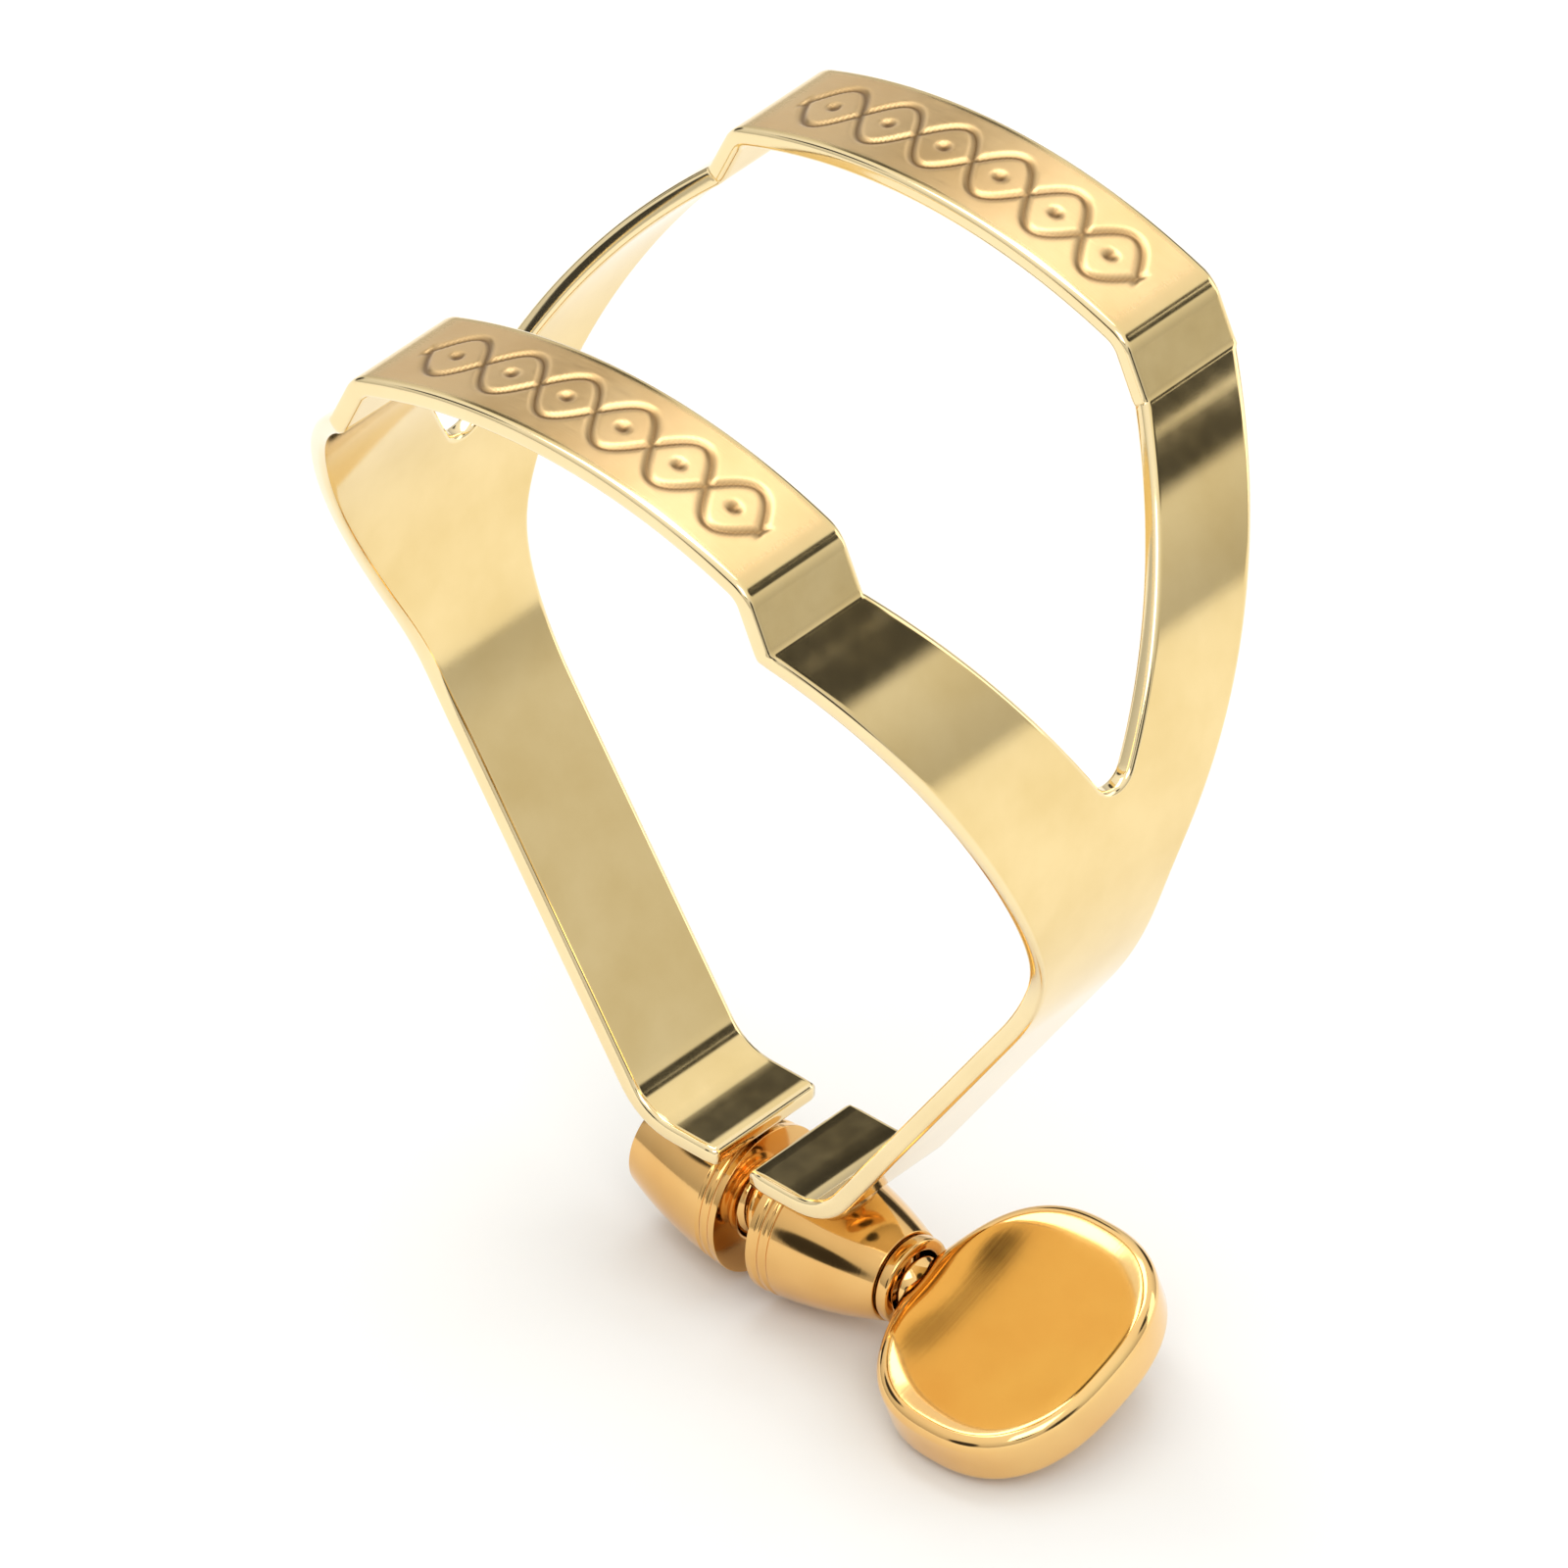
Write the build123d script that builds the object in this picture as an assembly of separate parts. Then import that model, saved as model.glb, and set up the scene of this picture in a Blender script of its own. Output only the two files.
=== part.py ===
from build123d import *
import os
from math import copysign, cos, pi, radians, sin, sqrt, tan

# A tenor saxophone ligature: a sheet-brass band with two straps over the top that run together into one
# waist at each side, two posts soldered under the band's feet, and one thumbscrew through the posts.
#
# Frame: +X towards the mouthpiece's tip, +Y the player's left, +Z up. The origin is on the axis of the
# mouthpiece that the band clamps, in the plane of the screw. All sizes are in millimetres, and angles
# around the band are degrees above the horizontal.

# Band section, seen along X
BORE_RADIUS = 12.9         # radius of the mouthpiece that the band's sides lie on
SHEET = 0.65               # thickness of the sheet
PLATE_RISE = 1.0           # the crown plates' ends stand this far off the straps
CROWN_RISE = 0.25          # their middle stands this far off the mouthpiece
PLATE_END_ANGLE = 57.5     # lower end of a crown plate
JOGGLE_ANGLE = 50.0        # foot of the step from the plate to the strap
JOGGLE_BEND = 0.7          # inside bend radius at both ends of the step
LOWER_ANGLE = -34.0        # where the round side runs on into the straight lower arm
FOOT_Z = -17.9             # inner face of the flat foot, on top of the post
FOOT_BEND = 2.0            # inside bend radius between the lower arm and the foot
GAP = 1.3                  # gap between the two feet as stored

# Band outline, seen along Y
REAR_PLATE = (-10.4, -6.1) # ends of the rear crown plate along X
FRONT_PLATE = (6.3, 10.5)  # ends of the front crown plate along X
WAIST_HALF = 2.25          # half the width of the lower arm
REAR_LEAN = 0.49           # how far the rear edge leans, per millimetre around the band
FRONT_LEAN = 0.57          # the same for the front edge
LEAN_ROUND = 0.8           # how softly the edges run on into the waist
VERTEX_X = -0.1            # sharp corner at the bottom of the window between the straps
VERTEX_ANGLE = 5.0
VERTEX_ROUND = 0.8         # rounding of that corner
EDGE_STEPS = 9             # points along each leaning edge

# Cut in the sheet, at the height where the near side flexes
SPLIT_Z = -1.6
SPLIT_GAP = 0.1

# Posts and screw, all on one axis along Y
SCREW_Z = -21.05
POST_BIG_RADIUS = 2.45
POST_MID_RADIUS = 2.15
POST_END_RADIUS = 1.5
POST_LENGTH = 4.3
NEAR_BORE_RADIUS = 1.33
FAR_BORE_RADIUS = 1.31
SHANK_RADIUS = 1.25
SHANK_TIP_Y = 4.7
TIP_CHAMFER = 0.35
COLLAR_RADIUS = 1.45
COLLAR_LENGTH = 0.45
COLLAR_PLAY = 0.05

# Solder saddle between a foot and its post
SADDLE_HALF_X = 1.7
SADDLE_LENGTH = 2.4
SADDLE_DEPTH = 1.1
SADDLE_INSET = 0.3

# Thumb paddle
PADDLE_HALF_X = 4.55
PADDLE_HALF_Y = 3.75
PADDLE_SQUARENESS = 2.5    # exponent of the outline: 2 is a plain ellipse
PADDLE_STEPS = 48          # points along the outline
PADDLE_TURN = 20.0         # the paddle's turn about the screw as stored, its upper face leaning to -X
PADDLE_THICK = 2.0
PADDLE_EDGE_ROUND = 0.45
PADDLE_DISH_RADIUS = 24.0
PADDLE_DISH_DEPTH = 0.25
NECK_RADIUS = 0.95
NECK_LENGTH = 0.5
NECK_END_RADIUS = 0.72     # the neck runs out inside the oval's thickness
NECK_RUN = 2.0

OUTER_RADIUS = BORE_RADIUS + SHEET
NEAR_END_Y = -GAP / 2 - POST_LENGTH
COLLAR_Y = NEAR_END_Y - COLLAR_PLAY
NECK_Y = COLLAR_Y - COLLAR_LENGTH
PADDLE_Y = NECK_Y - NECK_LENGTH - PADDLE_HALF_Y
REACH = 40.0               # longer than the whole object


def on_circle(radius, angle):
    """A point of the section, on the -Y side."""
    return (-radius * cos(radians(angle)), radius * sin(radians(angle)))


def mirrored(point):
    """The same point of the section on the +Y side."""
    return (-point[0], point[1])


def section_side(offset):
    """The surface that lies this far outside the inner face, from the -Y foot over the top to the +Y foot."""
    radius = BORE_RADIUS + offset
    foot_z = FOOT_Z - offset
    arm_top = on_circle(radius, LOWER_ANGLE)
    corner = (arm_top[0] + (arm_top[1] - foot_z) * tan(radians(-LOWER_ANGLE)), foot_z)
    joggle_foot = on_circle(radius, JOGGLE_ANGLE)
    plate_end = on_circle(radius + PLATE_RISE, PLATE_END_ANGLE)
    points = [(-GAP / 2, foot_z), corner, arm_top, joggle_foot, plate_end]
    side_middle = (-radius, 0)
    edges = [Line(points[0], points[1]), Line(points[1], points[2])]
    edges.append(ThreePointArc(points[2], side_middle, points[3]))
    edges.append(Line(points[3], points[4]))
    far = [Line(mirrored(points[1]), mirrored(points[0])), Line(mirrored(points[2]), mirrored(points[1]))]
    far.append(ThreePointArc(mirrored(points[3]), mirrored(side_middle), mirrored(points[2])))
    far.append(Line(mirrored(points[4]), mirrored(points[3])))
    crown = ThreePointArc(points[4], (0, radius + CROWN_RISE), mirrored(points[4]))
    return edges + [crown] + far, points


def band_section():
    """The sheet's closed section, with its bends rounded."""
    inner, inner_points = section_side(0)
    outer, outer_points = section_side(SHEET)
    ends = [Line(inner_points[0], outer_points[0])]
    ends.append(Line(mirrored(inner_points[0]), mirrored(outer_points[0])))
    face = make_face(inner + outer + ends)
    bends = [
        (inner_points[1], FOOT_BEND),
        (outer_points[1], FOOT_BEND + SHEET),
        (inner_points[3], JOGGLE_BEND + SHEET),
        (outer_points[3], JOGGLE_BEND),
        (inner_points[4], JOGGLE_BEND),
        (outer_points[4], JOGGLE_BEND + SHEET),
    ]
    for point, radius in bends:
        for corner in (point, mirrored(point)):
            vertex = face.vertices().sort_by_distance((*corner, 0))[0]
            face = fillet(vertex, radius)
    return face


def lean_start(plate_edge, lean):
    """The angle where an edge that reaches the plate's edge at the step begins to leave the waist."""
    return JOGGLE_ANGLE - (abs(plate_edge) - WAIST_HALF) / lean / OUTER_RADIUS * 180 / pi


def leaning_edge(plate_edge, lean):
    """Points of an outer edge from the step down to the lower arm, straight in the flat sheet."""
    start = lean_start(plate_edge, lean)
    side = 1 if plate_edge > 0 else -1
    points = []
    for step in range(EDGE_STEPS):
        angle = JOGGLE_ANGLE + (LOWER_ANGLE - JOGGLE_ANGLE) * step / (EDGE_STEPS - 1)
        run = lean * OUTER_RADIUS * radians(angle - start)
        away = (run + sqrt(run * run + LEAN_ROUND * LEAN_ROUND)) / 2
        points.append((side * (WAIST_HALF + away), OUTER_RADIUS * sin(radians(angle))))
    return points


def window_edge(plate_edge):
    """Points of one edge of the window, from the step down to the sharp corner."""
    points = []
    for step in range(EDGE_STEPS):
        share = step / (EDGE_STEPS - 1)
        angle = JOGGLE_ANGLE + (VERTEX_ANGLE - JOGGLE_ANGLE) * share
        x = plate_edge + (VERTEX_X - plate_edge) * share
        points.append((x, OUTER_RADIUS * sin(radians(angle))))
    return points


def band_outline():
    """The Y that the band shows from the side, as one solid along Y."""
    rear = leaning_edge(REAR_PLATE[0], REAR_LEAN)
    front = leaning_edge(FRONT_PLATE[1], FRONT_LEAN)
    top_left, top_right = (rear[0][0], REACH), (front[0][0], REACH)
    low_left, low_right = (rear[-1][0], -REACH), (front[-1][0], -REACH)
    outside = [
        Line(top_left, rear[0]),
        Spline(*rear),
        Line(rear[-1], low_left),
        Line(low_left, low_right),
        Line(low_right, front[-1]),
        Spline(*front),
        Line(front[0], top_right),
        Line(top_right, top_left),
    ]
    window_rear = window_edge(REAR_PLATE[1])
    window_front = window_edge(FRONT_PLATE[0])
    window_top = [(window_rear[0][0], REACH), (window_front[0][0], REACH)]
    opening = make_face([
        Line(window_top[0], window_rear[0]),
        Spline(*window_rear),
        Spline(*window_front),
        Line(window_front[0], window_top[1]),
        Line(window_top[1], window_top[0]),
    ])
    vertex = opening.vertices().sort_by_distance((*window_rear[-1], 0))[0]
    opening = fillet(vertex, VERTEX_ROUND)
    shape = Plane.XZ * (make_face(outside) - opening)
    return extrude(shape, REACH, both=True)


def slab(low_z, high_z, low_y, high_y):
    """A box as long as the object, between two heights and two sides."""
    size = (2 * REACH, high_y - low_y, high_z - low_z)
    return Pos(0, (low_y + high_y) / 2, (low_z + high_z) / 2) * Box(*size)


def band_pieces():
    """The bent sheet, cut where its near side flexes: the main band and the near arm."""
    sheet = extrude(Plane.YZ * band_section(), REACH, both=True)
    whole = sheet & band_outline()
    near_side = slab(-REACH, SPLIT_Z, -REACH, 0)
    cut = slab(-REACH, SPLIT_Z + SPLIT_GAP, -REACH, 0)
    return whole - cut, whole & near_side


def along_screw(face):
    """Turn a half profile, drawn as (Y, radius), about the screw's axis."""
    ring = revolve(Plane.YZ * face, Axis.Y)
    return Pos(0, 0, SCREW_Z) * ring


def post(bore_radius, side):
    """A turned post: a bell that is widest at the gap. side is -1 near, +1 far."""
    start = GAP / 2
    end = start + POST_LENGTH
    bell = ThreePointArc(
        (start, POST_BIG_RADIUS),
        ((start + end) / 2, POST_MID_RADIUS),
        (end, POST_END_RADIUS),
    )
    rest = Polyline(
        (end, POST_END_RADIUS),
        (end, bore_radius),
        (start, bore_radius),
        (start, POST_BIG_RADIUS),
    )
    solid = along_screw(make_face([bell, *rest.edges()]))
    return solid if side > 0 else mirror(solid, Plane.XZ)


def saddle(post_solid, side):
    """Solder between the underside of a foot and the top of its post."""
    top = FOOT_Z - SHEET
    start = GAP / 2 + SADDLE_INSET
    middle = (0, start + SADDLE_LENGTH / 2, top - SADDLE_DEPTH / 2)
    block = Pos(*middle) * Box(2 * SADDLE_HALF_X, SADDLE_LENGTH, SADDLE_DEPTH)
    block = block if side > 0 else mirror(block, Plane.XZ)
    core = Pos(0, 0, SCREW_Z) * Rot(90, 0, 0) * Cylinder(POST_END_RADIUS, REACH)
    return block - post_solid - core


def screw_shank():
    """The threaded rod, at its major diameter, with a chamfered tip."""
    length = SHANK_TIP_Y - COLLAR_Y
    rod = Pos(0, (SHANK_TIP_Y + COLLAR_Y) / 2, SCREW_Z) * Rot(90, 0, 0) * Cylinder(SHANK_RADIUS, length)
    tip = rod.faces().sort_by(Axis.Y)[-1]
    return chamfer(tip.edges(), TIP_CHAMFER)


def screw_collar():
    """The shoulder that bears on the near post."""
    middle = (COLLAR_Y + NECK_Y) / 2
    return Pos(0, middle, SCREW_Z) * Rot(90, 0, 0) * Cylinder(COLLAR_RADIUS, COLLAR_LENGTH)


def paddle_outline():
    """The thumb piece's outline: an oval, a little squared off towards its four corners."""
    power = 2 / PADDLE_SQUARENESS
    points = []
    for step in range(PADDLE_STEPS):
        across = cos(2 * pi * step / PADDLE_STEPS)
        along = sin(2 * pi * step / PADDLE_STEPS)
        x = copysign(PADDLE_HALF_X * abs(across) ** power, across)
        y = copysign(PADDLE_HALF_Y * abs(along) ** power, along)
        points.append((x, y))
    return make_face(Spline(*points, periodic=True))


def paddle():
    """The oval thumb piece, dished on both faces, on its tapered neck."""
    oval = extrude(paddle_outline(), PADDLE_THICK)
    rims = [edge for edge in oval.edges() if edge.length > PADDLE_HALF_X]
    oval = Pos(0, PADDLE_Y, -PADDLE_THICK / 2) * fillet(rims, PADDLE_EDGE_ROUND)
    lift = PADDLE_THICK / 2 + PADDLE_DISH_RADIUS - PADDLE_DISH_DEPTH
    for side in (-1, 1):
        oval = oval - Pos(0, PADDLE_Y, side * lift) * Sphere(PADDLE_DISH_RADIUS)
    neck = Pos(0, NECK_Y - NECK_RUN / 2, 0) * Rot(90, 0, 0) * Cone(NECK_RADIUS, NECK_END_RADIUS, NECK_RUN)
    return Pos(0, 0, SCREW_Z) * Rot(0, -PADDLE_TURN, 0) * (oval + neck)


def build():
    """Every node of the part by name."""
    band, near_arm = band_pieces()
    near_post = post(NEAR_BORE_RADIUS, -1)
    far_post = post(FAR_BORE_RADIUS, 1)
    return {
        "band": band,
        "near_arm": near_arm,
        "near_post": near_post,
        "far_post": far_post,
        "near_solder": saddle(near_post, -1),
        "far_solder": saddle(far_post, 1),
        "screw_shank": screw_shank(),
        "screw_collar": screw_collar(),
        "thumb_paddle": paddle(),
    }


os.makedirs("parts", exist_ok=True)
for name, shape in build().items():
    export_step(shape, f"parts/{name}.step")
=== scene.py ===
from math import atan, copysign, cos, degrees, exp, floor, hypot, pi, radians, sin, sqrt, tan

import bmesh
import bpy
import numpy as np
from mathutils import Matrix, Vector


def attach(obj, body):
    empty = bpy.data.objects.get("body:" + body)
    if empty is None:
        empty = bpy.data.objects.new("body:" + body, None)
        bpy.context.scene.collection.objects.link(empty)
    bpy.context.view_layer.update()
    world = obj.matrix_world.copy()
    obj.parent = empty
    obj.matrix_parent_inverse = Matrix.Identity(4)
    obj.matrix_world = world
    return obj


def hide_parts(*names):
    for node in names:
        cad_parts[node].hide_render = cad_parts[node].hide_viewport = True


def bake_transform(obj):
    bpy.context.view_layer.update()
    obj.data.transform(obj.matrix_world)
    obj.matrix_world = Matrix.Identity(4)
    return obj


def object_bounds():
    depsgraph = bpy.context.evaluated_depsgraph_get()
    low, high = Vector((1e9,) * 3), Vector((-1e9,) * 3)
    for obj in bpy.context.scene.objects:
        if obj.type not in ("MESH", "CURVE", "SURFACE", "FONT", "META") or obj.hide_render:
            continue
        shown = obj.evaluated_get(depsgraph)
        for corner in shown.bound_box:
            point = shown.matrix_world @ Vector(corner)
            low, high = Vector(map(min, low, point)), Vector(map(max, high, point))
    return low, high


# A saxophone ligature. Shapes are worked out in millimetres in the frame of the CAD model: +X towards the
# mouthpiece's tip, +Y the player's left, +Z up, with the origin on the axis that the band clamps.

MM = 0.001
NEAR_ZERO = 1e-9

# Band section, seen along X
BORE_RADIUS = 12.9
SHEET = 0.65
PLATE_RISE = 1.0
CROWN_RISE = 0.25
PLATE_END_ANGLE = 57.5
JOGGLE_ANGLE = 50.0
JOGGLE_BEND = 0.7
LOWER_ANGLE = -34.0
FOOT_Z = -17.9
FOOT_BEND = 2.0
GAP = 1.3
EDGE_ROUND = 0.2           # rounding of the sheet's edges
EDGE_RINGS = 4
BEND_CELLS = 14            # cells along each bend of the section

# Band outline, seen along Y
REAR_PLATE = (-10.4, -6.1)
FRONT_PLATE = (6.3, 10.5)
WAIST_HALF = 2.25
REAR_LEAN = 0.49
FRONT_LEAN = 0.57
LEAN_ROUND = 0.8
VERTEX_X = -0.1
VERTEX_ANGLE = 5.0
VERTEX_ROUND = 0.8
SPLIT_ANGLE = 46.0         # the near side's own piece ends here, just under the step
WAIST_BLEND = 3.0          # length over which the middle column finds the middle of the waist

# Mesh of the band: its cells across a strap, and the steps and stretches along it
STRAP_CELLS = 44
PATH_STEP = 0.02
PLATE_STEP = 0.1
SIDE_STEP = 0.3
FINE_STEP = 0.12
FOOT_BEND_FROM = 5.5
FOOT_BEND_TO = 9.5
UNDER_CORNER = 1.0         # finer rows start this far under the window's corner
BEFORE_JOGGLE = 1.2
PAST_JOGGLE = 3.2
CORNER_TURNS = range(0, 66, 6)  # degrees of the corner's round at which rows lie
SATIN_START = 1.0          # degrees above the plate's end where its satin begins
SATIN_RUN = 4.0            # degrees over which it grows
SATIN_MARGIN = 2           # cells at a strap's edge over which it fades

# Engraved braid on the crown plates
BRAID_SWING = 1.15
BRAID_PITCH = 4.4
BRAID_LENGTH = 6.6         # from the top of the crown to each end of the braid
LINE_HALF = 0.2
DOT_RADIUS = 0.3
ENGRAVING_DEPTH = 0.09

# Posts and screw
SCREW_Z = -21.05
POST_BIG_RADIUS = 2.45
POST_MID_RADIUS = 2.15
POST_END_RADIUS = 1.5
POST_LENGTH = 4.3
POST_RING_AT = (0.35, 0.7)  # two turned grooves, from the gap's end of the post
POST_RING_DEPTH = 0.07
POST_RING_HALF = 0.1
POST_EDGE_ROUND = 0.12     # also the collar's
ROUND_SHARES = (0, 0.25, 0.5, 0.75, 1)
BELL_STEPS = 80
NEAR_BORE_RADIUS = 1.33
FAR_BORE_RADIUS = 1.31
SHANK_RADIUS = 1.25
SHANK_TIP_Y = 4.7
TIP_CHAMFER = 0.35
COLLAR_RADIUS = 1.45
COLLAR_LENGTH = 0.45
COLLAR_PLAY = 0.05
THREAD_PITCH = 0.6
THREAD_DEPTH = 0.2
THREAD_START_Y = -1.6
THREAD_FADE = 0.5
THREAD_FLANK = 1.25        # how steep the flanks are
THREAD_ROWS = 14           # rows for each turn
SHANK_CELLS = 56
TURNS = 96                 # cells around a turned piece

# Solder between a foot and its post
SADDLE_HALF_X = 1.7
SADDLE_LENGTH = 2.4
SADDLE_INSET = 0.3
SOLDER_STATIONS = 24
SOLDER_SIDE_CELLS = 8
SOLDER_UNDER_CELLS = 6
SOLDER_END_HALF = 0.3      # half width at both ends
SOLDER_FOOT_SHARE = 0.62   # width on the post, as a share of the width on the foot
SOLDER_OVERLAP = 0.04

# Thumb paddle
PADDLE_HALF_X = 4.55
PADDLE_HALF_Y = 3.75
PADDLE_SQUARENESS = 2.5    # exponent of the outline: 2 is a plain ellipse
PADDLE_TURN = 20.0
PADDLE_THICK = 2.0
PADDLE_EDGE_ROUND = 0.45
PADDLE_DISH_DEPTH = 0.25
DISH_FLATNESS = 2.6        # powers that shape the dish: a flat middle and a soft edge
DISH_SOFTNESS = 1.5
NOSE_LENGTH = 0.42         # how far the oval reaches out along the neck
NOSE_HALF = 1.5
NOSE_POWER = 6             # how tightly the nose keeps to the neck's end of the oval
NOSE_THINNING = 0.3
PADDLE_CELLS = 160
PADDLE_RINGS = 26
PADDLE_EDGE_RINGS = 8
NECK_RADIUS = 0.95
NECK_LENGTH = 0.5
NECK_RUN = 2.4
NECK_WAIST = 0.14
NECK_WAIST_RATE = 3.2
NECK_WIDENING = 0.75
NECK_WIDENING_POWER = 1.5
NECK_THINNING = 0.5
NECK_THINNING_RATE = 1.25
NECK_CELLS = 64
NECK_ROWS = 26

# Camera and studio
AZIMUTH = -48.0
ELEVATION = 37.7
DISTANCE = 0.9             # metres
VIEW_WIDTH = 0.047         # width of the picture at the object, metres
SENSOR = 36.0
FLOOR_HALF = 3.0
FLOOR_CELLS = 8
FLOOR_DROP = 0.1           # millimetres under the object's lowest point
WORLD_TINT = 0.985         # blue, as a share of red and green
# (height of the direction, brightness)
WORLD_LEVELS = [(-1, 1.0), (-0.04, 0.95), (0.0, 0.55), (0.12, 0.62), (0.32, 0.78), (0.62, 1.0), (1.0, 1.1)]
# (direction, half angle in degrees) of each dark flag
FLAGS = [
    ((0.59, -0.61, 0.53), 8),
    ((-0.59, -0.61, 0.53), 8),
    ((0.59, 0.61, 0.53), 8),
    ((-0.35, 0.75, 0.56), 8),
    ((-0.95, 0.1, 0.2), 11),
    ((0.95, 0.15, 0.25), 10),
    ((0.1, 0.95, 0.15), 11),
    ((-0.15, -0.95, 0.2), 10),
]
FLAG_SOFT = 3.0
FLAG_LEVEL = 0.05
# name, place in metres, size in metres, watts
LAMPS = [
    ("key", (-0.5, -0.5, 0.7), (0.5, 0.5), 2.2),
    ("top", (0.1, 0.2, 0.8), (0.7, 0.4), 2.4),
    ("side", (0.6, -0.4, 0.2), (0.25, 0.5), 0.5),
]

OUTER_RADIUS = BORE_RADIUS + SHEET
MID_RADIUS = BORE_RADIUS + SHEET / 2
NEAR_END_Y = -GAP / 2 - POST_LENGTH
COLLAR_Y = NEAR_END_Y - COLLAR_PLAY
NECK_Y = COLLAR_Y - COLLAR_LENGTH
PADDLE_Y = NECK_Y - NECK_LENGTH - PADDLE_HALF_Y

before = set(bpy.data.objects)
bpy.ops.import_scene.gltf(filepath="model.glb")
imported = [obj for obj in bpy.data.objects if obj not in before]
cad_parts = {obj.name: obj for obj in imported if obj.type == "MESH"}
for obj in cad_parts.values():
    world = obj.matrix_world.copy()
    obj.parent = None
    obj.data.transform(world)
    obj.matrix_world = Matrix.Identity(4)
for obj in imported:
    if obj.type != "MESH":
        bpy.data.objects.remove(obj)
cad_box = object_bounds()


# ---------------------------------------------------------------- lines in a plane

def straight(start, end, step=PATH_STEP):
    """Points along a straight run."""
    start, end = np.array(start, float), np.array(end, float)
    count = max(2, int(np.linalg.norm(end - start) / step) + 1)
    return start + (end - start) * np.linspace(0, 1, count)[:, None]


def circle_run(centre, radius, first, last, step=PATH_STEP):
    """Points of an arc, between two angles in degrees from the first axis."""
    count = max(3, int(radius * abs(radians(last - first)) / step) + 1)
    angles = np.radians(np.linspace(first, last, count))
    return np.stack([centre[0] + radius * np.cos(angles), centre[1] + radius * np.sin(angles)], 1)


def lengths_along(points):
    """Distance from the start to each point."""
    return np.concatenate([[0], np.cumsum(np.linalg.norm(np.diff(points, axis=0), axis=1))])


def shortened(points, cut):
    """The same run without its last stretch."""
    along = lengths_along(points)
    kept = points[along < along[-1] - cut - NEAR_ZERO]
    end = [np.interp(along[-1] - cut, along, points[:, axis]) for axis in (0, 1)]
    return np.vstack([kept, end])


def bent(first, second, radius):
    """Two runs that meet at a corner, joined by a bend of this radius."""
    before = first[-1] - first[-2]
    after = second[1] - second[0]
    turn = abs(np.arctan2(before[0] * after[1] - before[1] * after[0], before @ after))
    cut = radius * tan(turn / 2)
    first_kept = shortened(first, cut)
    second_kept = shortened(second[::-1], cut)[::-1]
    start, corner, end = first_kept[-1], first[-1], second_kept[0]
    share = np.linspace(0, 1, BEND_CELLS + 2)[1:-1, None]
    curve = start * (1 - share) ** 2 + 2 * corner * share * (1 - share) + end * share ** 2
    return np.vstack([first_kept, curve, second_kept])


def eased(share):
    """A share from 0 to 1 that starts and ends softly."""
    return share * share * (3 - 2 * share)


def on_circle(radius, angle):
    """A point of the section, on the -Y side."""
    return (-radius * cos(radians(angle)), radius * sin(radians(angle)))


def band_half_path():
    """Middle of the sheet's thickness from the -Y foot to the top of the crown, as (y, z)."""
    foot_z = FOOT_Z - SHEET / 2
    arm_top = on_circle(MID_RADIUS, LOWER_ANGLE)
    corner = (arm_top[0] + (arm_top[1] - foot_z) * tan(radians(-LOWER_ANGLE)), foot_z)
    plate_end = on_circle(MID_RADIUS + PLATE_RISE, PLATE_END_ANGLE)
    top = MID_RADIUS + CROWN_RISE
    centre_z = (plate_end[0] ** 2 + plate_end[1] ** 2 - top ** 2) / 2 / (plate_end[1] - top)
    crown_radius = top - centre_z
    crown_start = degrees(np.arctan2(plate_end[1] - centre_z, plate_end[0]))
    foot = straight((-GAP / 2 - EDGE_ROUND, foot_z), corner)
    arm = straight(corner, arm_top)
    side = circle_run((0, 0), MID_RADIUS, 180 - LOWER_ANGLE, 180 - JOGGLE_ANGLE)
    step = straight(on_circle(MID_RADIUS, JOGGLE_ANGLE), plate_end)
    crown = circle_run((0, centre_z), crown_radius, crown_start, 90)
    path = bent(foot, arm, FOOT_BEND + SHEET / 2)
    side_start = lengths_along(path)[-1]
    path = np.vstack([path, side[1:]])
    path = bent(path, step, JOGGLE_BEND + SHEET / 2)
    path = bent(path, crown, JOGGLE_BEND + SHEET / 2)
    return path, side_start


# ---------------------------------------------------------------- outline of the band

def outer_edge(angle, plate_edge, lean):
    """Distance of an outer edge from the middle plane of the waist."""
    start = JOGGLE_ANGLE - degrees((abs(plate_edge) - WAIST_HALF) / lean / OUTER_RADIUS)
    run = lean * OUTER_RADIUS * radians(angle - start)
    return WAIST_HALF + (run + sqrt(run * run + LEAN_ROUND * LEAN_ROUND)) / 2


def inset_outer_edge(angle, plate_edge, lean):
    """The same edge, moved in by the rounding of the sheet's edge."""
    angle = min(max(angle, LOWER_ANGLE), JOGGLE_ANGLE)
    nearby = outer_edge(angle - 1, plate_edge, lean)
    here = outer_edge(angle, plate_edge, lean)
    slope = (here - nearby) / (OUTER_RADIUS * radians(1)) if angle < JOGGLE_ANGLE else 0
    return here - EDGE_ROUND * sqrt(1 + slope * slope)


WINDOW_HEIGHT = OUTER_RADIUS * radians(JOGGLE_ANGLE - VERTEX_ANGLE)
REAR_TILT = atan((VERTEX_X - REAR_PLATE[1]) / WINDOW_HEIGHT)
FRONT_TILT = atan((FRONT_PLATE[0] - VERTEX_X) / WINDOW_HEIGHT)
CORNER_UP = VERTEX_ROUND * (cos(FRONT_TILT) + cos(REAR_TILT)) / sin(REAR_TILT + FRONT_TILT)
CORNER_X = VERTEX_X + (VERTEX_ROUND - CORNER_UP * sin(REAR_TILT)) / cos(REAR_TILT)
CORNER_RADIUS = VERTEX_ROUND + EDGE_ROUND
WINDOW_BOTTOM = CORNER_UP - CORNER_RADIUS


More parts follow.
